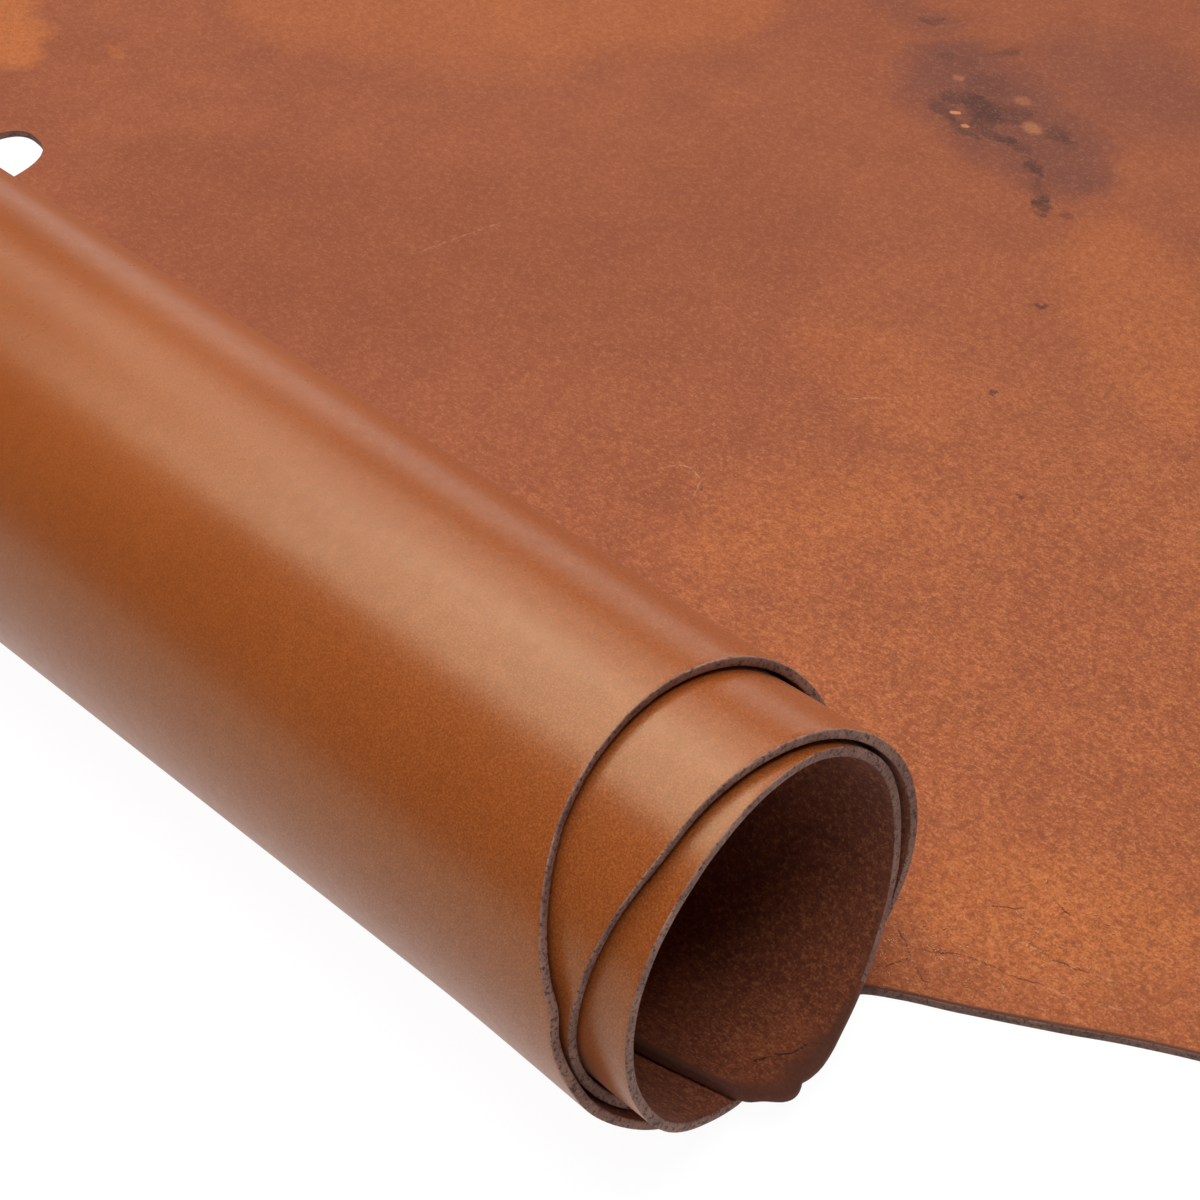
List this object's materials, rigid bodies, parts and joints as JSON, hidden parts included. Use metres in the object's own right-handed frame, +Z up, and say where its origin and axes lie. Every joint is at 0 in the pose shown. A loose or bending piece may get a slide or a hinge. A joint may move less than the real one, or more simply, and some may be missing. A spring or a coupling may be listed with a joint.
{
  "type": "leather side",
  "caption": "Half hide of smooth tan leather, lying flat with its flesh side up and one end rolled up with the grain side out.",
  "frame": {"origin": "middle of the whole sheet's box, at floor level", "axes": "+X across the roll, from the roll towards the flat part; +Y along the roll, from its uneven near end to the straight back edge; +Z up"},
  "size_m": [1.2614, 1.1016, 0.1206],
  "materials": {
    "leather": "smooth satin tan grain side, matt suede-like brown flesh side, raw cut edges"
  },
  "bodies": {
    "root": {"leather_side": "leather"}
  },
  "joints": []
}
